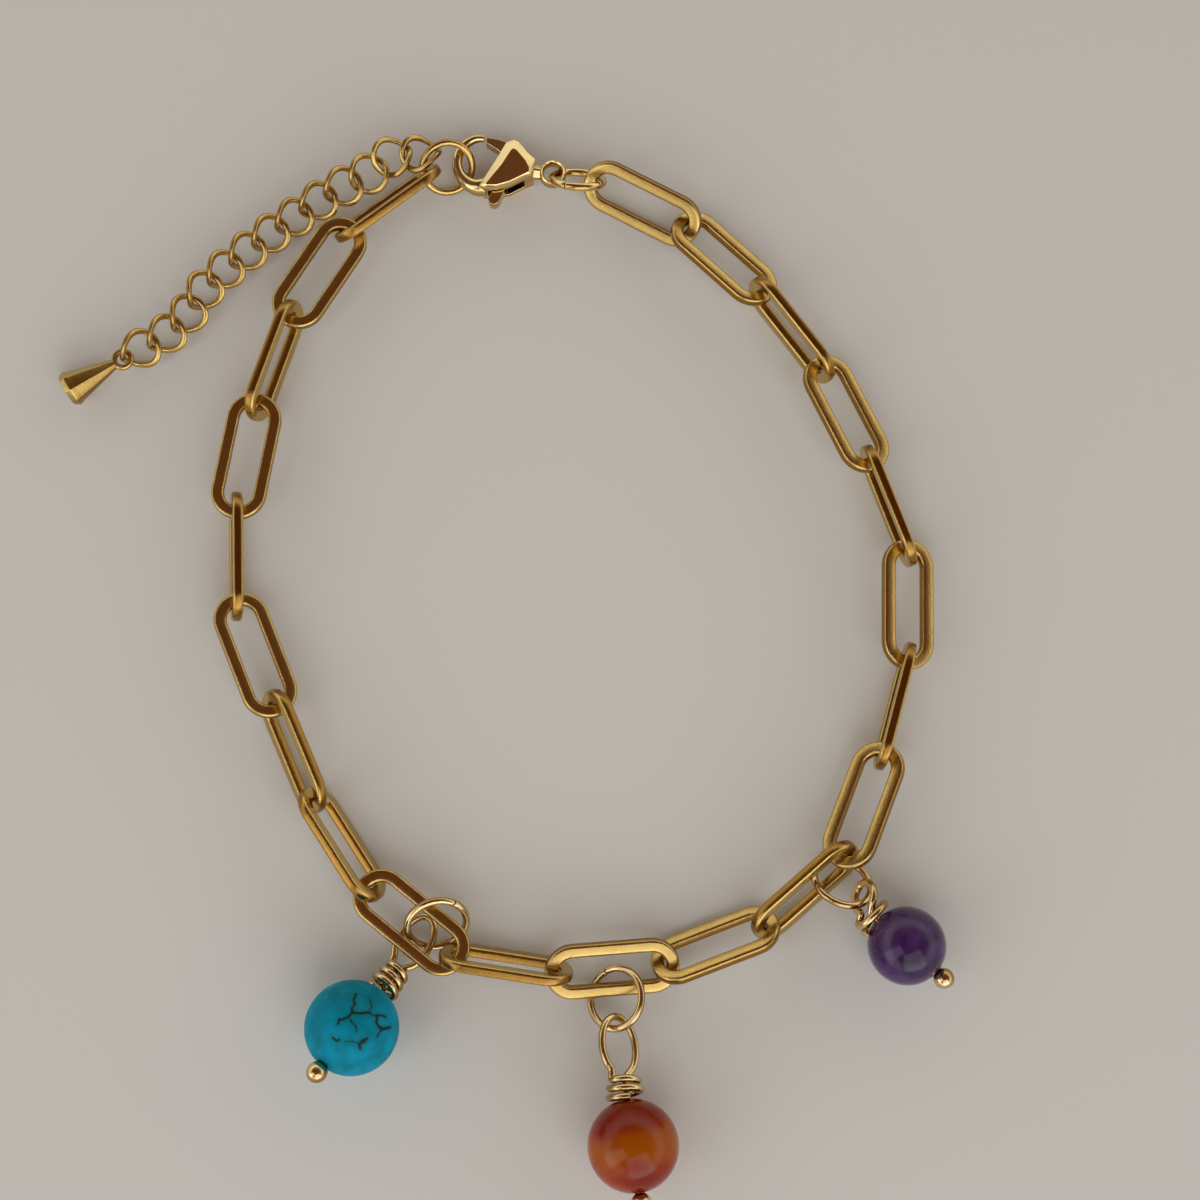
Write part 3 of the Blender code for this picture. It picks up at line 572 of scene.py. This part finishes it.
def loft(work, outlines, edge=0.0):
    """A closed form through stacked outlines of millimetre points, each at its height, edges eased."""
    before = set(work.verts)
    rings = []
    for outline, height in outlines:
        corners = [work.verts.new((x * MM, y * MM, height)) for x, y in outline]
        rings.append([
            work.edges.new((corners[index - 1], corners[index])) for index in range(len(corners))
        ])
    for low_ring, high_ring in zip(rings, rings[1:]):
        bmesh.ops.bridge_loops(work, edges=low_ring + high_ring)
    for ring in (rings[0], rings[-1]):
        bmesh.ops.edgeloop_fill(work, edges=ring)
    made = [vertex for vertex in work.verts if vertex not in before]
    faces = list({face for vertex in made for face in vertex.link_faces})
    bmesh.ops.recalc_face_normals(work, faces=faces)
    if edge:
        sharp = [
            side for side in {side for face in faces for side in face.edges}
            if side.calc_face_angle(0.0) > EASED_ANGLE
        ]
        bmesh.ops.bevel(
            work, geom=sharp, offset=edge, segments=3, profile=0.5, affect="EDGES", material=-1,
            clamp_overlap=True,
        )


clasp_turn = Matrix.Rotation(math.radians(CLASP_TURN), 4, "Z")
pivot = Vector(frame["joints"][0]["pos_m"])
pivot.z = 0.0
clasp_place = Matrix.Translation(pivot) @ clasp_turn @ Matrix.Translation((-PIVOT[0], -PIVOT[1], 0.0))
clasp_middle = CLASP_THICKNESS / 2
cheek_rim = [rim for rim, _ in CHEEK]
cheek_face = [face for _, face in CHEEK]

work = bmesh.new()
for outer, inner in ((CLASP_THICKNESS, CLASP_THICKNESS - CHEEK_THICKNESS), (0.0, CHEEK_THICKNESS)):
    rim_height = outer - math.copysign(CHEEK_RISE, outer - inner)
    loft(work, [(cheek_rim, inner), (cheek_rim, rim_height), (cheek_face, outer)], CLASP_EDGE)
web_low, web_high = WEB_SINK, CLASP_THICKNESS - WEB_SINK
loft(work, [(BACK_WEB, web_low), (BACK_WEB, web_high)], CLASP_EDGE)
neck_low, neck_high = clasp_middle - EYE_HEIGHT / 2, clasp_middle + EYE_HEIGHT / 2
loft(work, [
    (NECK_RIDGE, neck_low), (NECK, neck_low + NECK_SLOPE),
    (NECK, neck_high - NECK_SLOPE), (NECK_RIDGE, neck_high),
], CLASP_EDGE)
loft(work, [(HOOK_ROOT, web_low), (HOOK_ROOT, web_high)])
hook_route = smooth_route([(x * MM, y * MM, clasp_middle, width) for x, y, width in HOOK_LINE], 6)
sweep(
    work, hook_route, HOOK_WIDTH / 2, sides=16, widths=[place[3] for place in hook_route],
    flatten=(clasp_middle, HOOK_HEIGHT / HOOK_WIDTH),
)
eye = full_ring(work, EYE_DIAMETER, EYE_WALL, height=EYE_HEIGHT)
bmesh.ops.translate(work, vec=(0.0, 0.0, clasp_middle), verts=eye)
bmesh.ops.create_cone(
    work, cap_ends=True, segments=24, radius1=RIVET_DIAMETER / 2, radius2=RIVET_DIAMETER / 2,
    depth=web_high - web_low, matrix=Matrix.Translation((*PIVOT, clasp_middle)),
)
bmesh.ops.recalc_face_normals(work, faces=work.faces[:])
note_surface(work, CLASP_PATCH)
clasp = seat(
    work, "clasp_body_cast", clasp_place, polished_gold, smooth_angle=35.0, flat_faces=True
)
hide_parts("clasp_body")

work = bmesh.new()
lever_low = CHEEK_THICKNESS + LEVER_CLEARANCE
lever_high = CLASP_THICKNESS - CHEEK_THICKNESS - LEVER_CLEARANCE
loft(work, [(LEVER_OUTLINE, lever_low), (LEVER_OUTLINE, lever_high)], CLASP_EDGE)
bmesh.ops.recalc_face_normals(work, faces=work.faces[:])
note_surface(work, LEVER_PATCH)
lever = seat(
    work, "clasp_lever_cast", clasp_place, polished_gold, body="lever", smooth_angle=35.0,
    flat_faces=True,
)
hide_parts("clasp_lever")


# Head pins: soft light-gold wire with a ball melted on one end. Above the bead the wire is bent
# into a loop through the jump ring and wrapped back down its own neck to the bead.
CHARM_WIRE = 0.5 * MM
PIN_BALL = 1.4 * MM
BALL_STAND_OFF = PIN_BALL * 0.45
LOOP_OPENING = 40
LOOP_STEP = 20
WRAP_STEPS = 10
WRAP_CLEARANCE = CHARM_WIRE * 0.52
NECK_ABOVE_WRAP = CHARM_WIRE * 0.3
SHAFT_BELOW_NECK = (CHARM_WIRE * 1.6, CHARM_WIRE * 0.6)
CHARMS = {
    "turquoise": {
        "bead": 6.2, "heading": 53.7, "dip": -23.71, "roll": -20.8, "loop": (4.3, 2.8, 18.8),
        "wrap": (3.0, 1.9, 1.9, 2.4),
    },
    "carnelian": {
        "bead": 6.0, "heading": 98.2, "dip": -9.50, "roll": 31.2, "loop": (4.4, 3.0, -0.3),
        "wrap": (2.2, 1.3, 2.3, 2.8),
    },
    "amethyst": {
        "bead": 5.2, "heading": 138.7, "dip": 3.47, "roll": -42.6, "loop": (2.7, 2.5, -55.2),
        "wrap": (1.2, 0.7, 2.7, 2.9),
    },
}


def pin_route(charm):
    """A head pin's centre line, X from the bead's middle to the loop: shaft, loop, then wrap."""
    bead_radius = charm["bead"] / 2 * MM
    loop_length, loop_width, loop_bend = charm["loop"]
    turns, wrap_length, wrap_top, wrap_bottom = charm["wrap"]
    top_radius = (wrap_top * MM - CHARM_WIRE) / 2
    bottom_radius = (wrap_bottom * MM - CHARM_WIRE) / 2
    wrap_low = math.sqrt((bead_radius + WRAP_CLEARANCE) ** 2 - bottom_radius ** 2)
    wrap_high = wrap_low + wrap_length * MM
    neck = wrap_high + NECK_ABOVE_WRAP
    half_length = (loop_length * MM - CHARM_WIRE) / 2
    half_width = (loop_width * MM - CHARM_WIRE) / 2
    bend = Matrix.Rotation(-math.radians(loop_bend), 3, "Y")
    shaft = [-bead_radius - BALL_STAND_OFF] + [neck - below for below in SHAFT_BELOW_NECK]
    points = [Vector((along, 0.0, 0.0)) for along in shaft]
    for degrees in range(LOOP_OPENING, 361 - LOOP_OPENING, LOOP_STEP):
        turn = math.radians(degrees)
        local = Vector((half_length * (1 - math.cos(turn)), -half_width * math.sin(turn), 0.0))
        points.append(Vector((neck, 0.0, 0.0)) + bend @ local)
    total = int(turns * WRAP_STEPS)
    for step in range(total + 1):
        down = step / total
        angle = 2 * math.pi * step / WRAP_STEPS
        radius = top_radius + (bottom_radius - top_radius) * down
        points.append(Vector((
            wrap_high - (wrap_high - wrap_low) * down, radius * math.cos(angle), radius * math.sin(angle)
        )))
    return [Vector(place) for place in smooth_route(points, 4)]


charm_places = {}
for name, charm in CHARMS.items():
    heading, dip = math.radians(charm["heading"]), math.radians(charm["dip"])
    way = Vector((math.cos(heading) * math.cos(dip), math.sin(heading) * math.cos(dip), math.sin(dip)))
    low, high = (Vector(corner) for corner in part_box(f"{name}_bead"))
    place = lying_frame((low + high) / 2, way, charm["roll"])
    charm_places[name] = place
    work = bmesh.new()
    sweep(work, pin_route(charm), CHARM_WIRE / 2, sides=14)
    ball_middle = -(charm["bead"] / 2 * MM + BALL_STAND_OFF)
    bmesh.ops.create_uvsphere(
        work, u_segments=32, v_segments=20, radius=PIN_BALL / 2,
        matrix=Matrix.Translation((ball_middle, 0.0, 0.0)) @ Matrix.Rotation(math.pi / 2, 4, "Y"),
    )
    bmesh.ops.recalc_face_normals(work, faces=work.faces[:])
    note_surface(work, PIN_PATCH + charm["bead"])
    pin = seat(work, f"{name}_pin_wire", place, wire_gold)
    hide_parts(f"{name}_pin")


# Beads: round stones drilled through and tumbled. The turquoise is satin with dark veins of matrix,
# the carnelian and the amethyst are clear enough to glow and are polished to a gloss. The carnelian's colour
# also holds a painted glow in its middle.
BEAD_HOLE = 0.66 * MM
HOLE_EDGE = 0.02
HOLE_DEPTH = 0.06 * MM
BEAD_STEPS = 96
VEIN_BEAD_STEPS = 300

# Veins on the turquoise as they lie, each a walk of points on the bead seen from above in shares of
# its radius: X to the right, Y away from the viewer.
VEINS = [
    # how much wider than a fine line, in shares of the radius, and the walk
    (0.012, [
        (0.16, 0.72), (0.12, 0.60), (0.15, 0.50), (0.10, 0.42), (0.13, 0.34), (0.26, 0.32), (0.44, 0.34)
    ]),
    (0.006, [(0.44, 0.34), (0.54, 0.28), (0.66, 0.28), (0.78, 0.24)]),
    (0.012, [(0.13, 0.34), (0.04, 0.26), (-0.06, 0.20), (-0.14, 0.20), (-0.17, 0.12)]),
    (0.000, [(0.04, 0.26), (0.12, 0.14), (0.20, 0.06), (0.22, -0.04)]),
    (0.016, [(0.62, 0.26), (0.60, 0.14), (0.66, 0.04), (0.74, 0.00), (0.86, 0.03)]),
    (0.004, [(0.72, 0.00), (0.66, -0.08), (0.62, -0.16)]),
    (0.010, [(-0.27, -0.17), (-0.20, -0.23), (-0.14, -0.21)]),
    (-0.006, [(-0.02, -0.25), (0.12, -0.24), (0.24, -0.26)]),
    (0.016, [(0.30, -0.24), (0.42, -0.19), (0.36, -0.27), (0.27, -0.30), (0.29, -0.39)]),
    (0.000, [(0.44, 0.34), (0.50, 0.46), (0.44, 0.62)]),
]


def bead_form(work, radius, steps):
    """A ball with a drilled hole along X, turned from its outline."""
    hole = BEAD_HOLE / 2
    mouth = math.asin(hole / radius) + HOLE_EDGE
    outline = [(radius * math.cos(mouth) - HOLE_DEPTH, hole)]
    rows = steps // 2
    for row in range(rows + 1):
        angle = mouth + (math.pi - 2 * mouth) * row / rows
        outline.append((radius * math.cos(angle), radius * math.sin(angle)))
    outline.append((-radius * math.cos(mouth) + HOLE_DEPTH, hole))
    corners = [work.verts.new((along, out, 0.0)) for along, out in outline]
    edges = [work.edges.new(pair) for pair in zip(corners, corners[1:])]
    edges.append(work.edges.new((corners[-1], corners[0])))
    full_turn(work, corners + edges, (1.0, 0.0, 0.0), steps)
    bmesh.ops.recalc_face_normals(work, faces=work.faces[:])


def stone_base(name, roughness, gloss, glow):
    """A stone's material before its colour: its gloss, and how far light goes in and comes out again."""
    made, tree, shader, add = nodes_of(name)
    own = add("ShaderNodeAttribute", {"attribute_name": "own"}).outputs["Vector"]
    shader.inputs["Roughness"].default_value = roughness
    shader.inputs["Coat Weight"].default_value = gloss
    shader.inputs["Coat Roughness"].default_value = 0.17
    shader.inputs["Subsurface Weight"].default_value = glow
    shader.inputs["Subsurface Radius"].default_value = (1.0, 0.25, 0.1)
    shader.inputs["Subsurface Scale"].default_value = 1.2 * MM
    shader.inputs["Specular IOR Level"].default_value = 0.1
    return made, tree, shader, add, own


TURQUOISE = (0.0, 0.27, 0.43)
TURQUOISE_GREEN = (0.0, 0.19, 0.25)
TURQUOISE_PALE = (0.0, 0.33, 0.54)
MATRIX = (0.014, 0.026, 0.012)
turquoise, tree, shader, add, own = stone_base("turquoise", roughness=0.55, gloss=0.0, glow=0.0)
mottle = add("ShaderNodeTexNoise", Vector=own, Scale=0.55, Detail=5.0, Roughness=0.6).outputs["Fac"]
grain = add("ShaderNodeTexNoise", Vector=own, Scale=3.2, Detail=6.0, Roughness=0.7).outputs["Fac"]
stone_tone = ramp(add, mottle, [(0.35, TURQUOISE_GREEN), (0.52, TURQUOISE), (0.72, TURQUOISE_PALE)])
vein = add("ShaderNodeAttribute", {"attribute_name": "vein"}).outputs["Fac"]
ragged = add("ShaderNodeMath", {"operation": "MULTIPLY_ADD"}).inputs
tree.links.new(grain, ragged[0])
ragged[1].default_value = 0.20
tree.links.new(vein, ragged[2])
vein_edge = ragged[0].node.outputs[0]
line_share = add(
    "ShaderNodeMapRange", {"interpolation_type": "SMOOTHSTEP"}, Value=vein_edge,
    From_Min=0.105, From_Max=0.20, To_Min=0.95, To_Max=0.0,
).outputs["Result"]
halo_share = add(
    "ShaderNodeMapRange", {"interpolation_type": "SMOOTHSTEP"}, Value=vein_edge,
    From_Min=0.14, From_Max=0.60, To_Min=0.6, To_Max=0.0,
).outputs["Result"]
with_halo = add(
    "ShaderNodeMix", {"data_type": "RGBA"}, Factor=halo_share, A=stone_tone, B=(*TURQUOISE_GREEN, 1.0)
).outputs["Result"]
with_veins = add(
    "ShaderNodeMix", {"data_type": "RGBA"}, Factor=line_share, A=with_halo, B=(*MATRIX, 1.0)
).outputs["Result"]
tree.links.new(with_veins, shader.inputs["Base Color"])
relief = add("ShaderNodeBump", Height=vein_edge, Strength=0.25, Distance=0.03 * MM).outputs["Normal"]
tree.links.new(relief, shader.inputs["Normal"])

CARNELIAN_PAINTED_SHADE = (0.21, 0.010, 0.0005)
CARNELIAN_RED = (0.30, 0.027, 0.0005)
CARNELIAN_PAINTED_GLOW = (0.38, 0.085, 0.002)
carnelian, tree, shader, add, own = stone_base("carnelian", roughness=0.10, gloss=0.4, glow=0.35)
# The bands run along the drill hole, with one light band across the middle and dark at both ends: the stone's
# banding, with a painted glow in its middle and painted shade towards the holes.
bands_with_glow = add(
    "ShaderNodeTexWave", {"bands_direction": "X"}, Vector=own, Scale=0.052, Distortion=2.4, Detail=3.0,
    Detail_Scale=7.0, Detail_Roughness=0.5, Phase_Offset=3.45,
).outputs["Fac"]
tree.links.new(
    ramp(add, bands_with_glow, [(0.05, CARNELIAN_PAINTED_SHADE), (0.50, CARNELIAN_RED), (0.95, CARNELIAN_PAINTED_GLOW)]),
    shader.inputs["Base Color"],
)

AMETHYST_DARK = (0.020, 0.006, 0.040)
AMETHYST_DEEP = (0.060, 0.018, 0.110)
AMETHYST_PALE = (0.100, 0.045, 0.155)
amethyst, tree, shader, add, own = stone_base("amethyst", roughness=0.12, gloss=0.6, glow=0.2)
haze = add(
    "ShaderNodeTexNoise", Vector=own, Scale=0.45, Detail=4.0, Roughness=0.6, Distortion=0.5
).outputs["Fac"]
tree.links.new(
    ramp(add, haze, [(0.36, AMETHYST_DARK), (0.52, AMETHYST_DEEP), (0.72, AMETHYST_PALE)]),
    shader.inputs["Base Color"],
)


def note_veins(work, place, radius):
    """Store how far each corner of the bead is from the nearest vein, in millimetres."""
    layer = work.verts.layers.float.new("vein")
    corners = np.array([place.to_3x3() @ vertex.co for vertex in work.verts]) / radius
    nearest = np.full(len(corners), 9.0)
    for extra, walk in VEINS:
        spots = [np.array((x, y, math.sqrt(max(0.0, 1.0 - x * x - y * y)))) for x, y in walk]
        for start, end in zip(spots, spots[1:]):
            run = end - start
            share = np.clip((corners - start) @ run / (run @ run), 0.0, 1.0)
            gap = np.linalg.norm(corners - start - share[:, None] * run, axis=1)
            nearest = np.minimum(nearest, gap - extra)
    for vertex, gap in zip(work.verts, nearest):
        vertex[layer] = gap * radius / MM


for name, finish, steps in (
    ("turquoise", turquoise, VEIN_BEAD_STEPS), ("carnelian", carnelian, BEAD_STEPS),
    ("amethyst", amethyst, BEAD_STEPS),
):
    radius = CHARMS[name]["bead"] / 2 * MM
    work = bmesh.new()
    bead_form(work, radius, steps)
    note_surface(work)
    if name == "turquoise":
        note_veins(work, charm_places[name], radius)
    bead = seat(work, f"{name}_stone", charm_places[name], finish, smooth_angle=60.0)
    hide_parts(f"{name}_bead")


# Floor and light: a plain pale table top under a soft window on the charms' side, as a narrow
# and a broad softbox with a gap between them. The room is pale at the horizon, bright in a band above it,
# and a dim red-brown overhead.
FLOOR_SIZE = 1.2
FLOOR_TONE = (0.74, 0.74, 0.73)

work = bmesh.new()
bmesh.ops.create_grid(work, x_segments=1, y_segments=1, size=FLOOR_SIZE / 2)
floor_mesh = bpy.data.meshes.new("table_top")
work.to_mesh(floor_mesh)
work.free()
floor = bpy.data.objects.new("table_top", floor_mesh)
bpy.context.scene.collection.objects.link(floor)
table_finish, _, table_shader, _ = nodes_of("table_finish")
table_shader.inputs["Base Color"].default_value = (*FLOOR_TONE, 1.0)
table_shader.inputs["Roughness"].default_value = 0.9
floor_mesh.materials.append(table_finish)

LIGHT_DISTANCE = 0.6
SOFTBOXES = [
    # name, degrees round from +X, elevation, width, height, power, tone
    ("window_left", 212.0, 38.0, 0.30, 0.64, 0.60, (0.93, 0.97, 1.0)),
    ("window_right", 290.0, 38.0, 0.60, 0.64, 1.45, (0.93, 0.97, 1.0)),
]
for name, turn, elevation, width, height, power, tone in SOFTBOXES:
    data = bpy.data.lights.new(name, "AREA")
    data.shape = "RECTANGLE"
    data.size = width
    data.size_y = height
    data.energy = power
    data.color = tone
    lamp = bpy.data.objects.new(name, data)
    bpy.context.scene.collection.objects.link(lamp)
    turn, elevation = math.radians(turn), math.radians(elevation)
    way = Vector((
        math.cos(turn) * math.cos(elevation), math.sin(turn) * math.cos(elevation), math.sin(elevation)
    ))
    lamp.location = way * LIGHT_DISTANCE
    lamp.rotation_euler = way.to_track_quat("Z", "Y").to_euler()

# The room by height: 0 is the horizon and 1 is straight up.
ROOM_TONES = [
    (0.0, (0.46, 0.445, 0.42)), (0.24, (1.06, 1.02, 0.93)), (0.46, (1.06, 1.00, 0.87)),
    (0.60, (0.28, 0.22, 0.16)), (0.84, (0.11, 0.060, 0.032)), (1.0, (0.145, 0.052, 0.028)),
]
world = bpy.data.worlds.new("room")
bpy.context.scene.world = world
world.use_nodes = True
room = world.node_tree
background = room.nodes["Background"]
sky_way = room.nodes.new("ShaderNodeTexCoord")
sky_parts = room.nodes.new("ShaderNodeSeparateXYZ")
sky_ramp = room.nodes.new("ShaderNodeValToRGB")
room.links.new(sky_way.outputs["Generated"], sky_parts.inputs["Vector"])
background.inputs["Strength"].default_value = 1.0
room.links.new(sky_parts.outputs["Z"], sky_ramp.inputs["Fac"])
room.links.new(sky_ramp.outputs["Color"], background.inputs["Color"])
stops = sky_ramp.color_ramp.elements
while len(stops) < len(ROOM_TONES):
    stops.new(0.5)
for stop, (place, tone) in zip(stops, ROOM_TONES):
    stop.position = place
    stop.color = (*tone, 1.0)
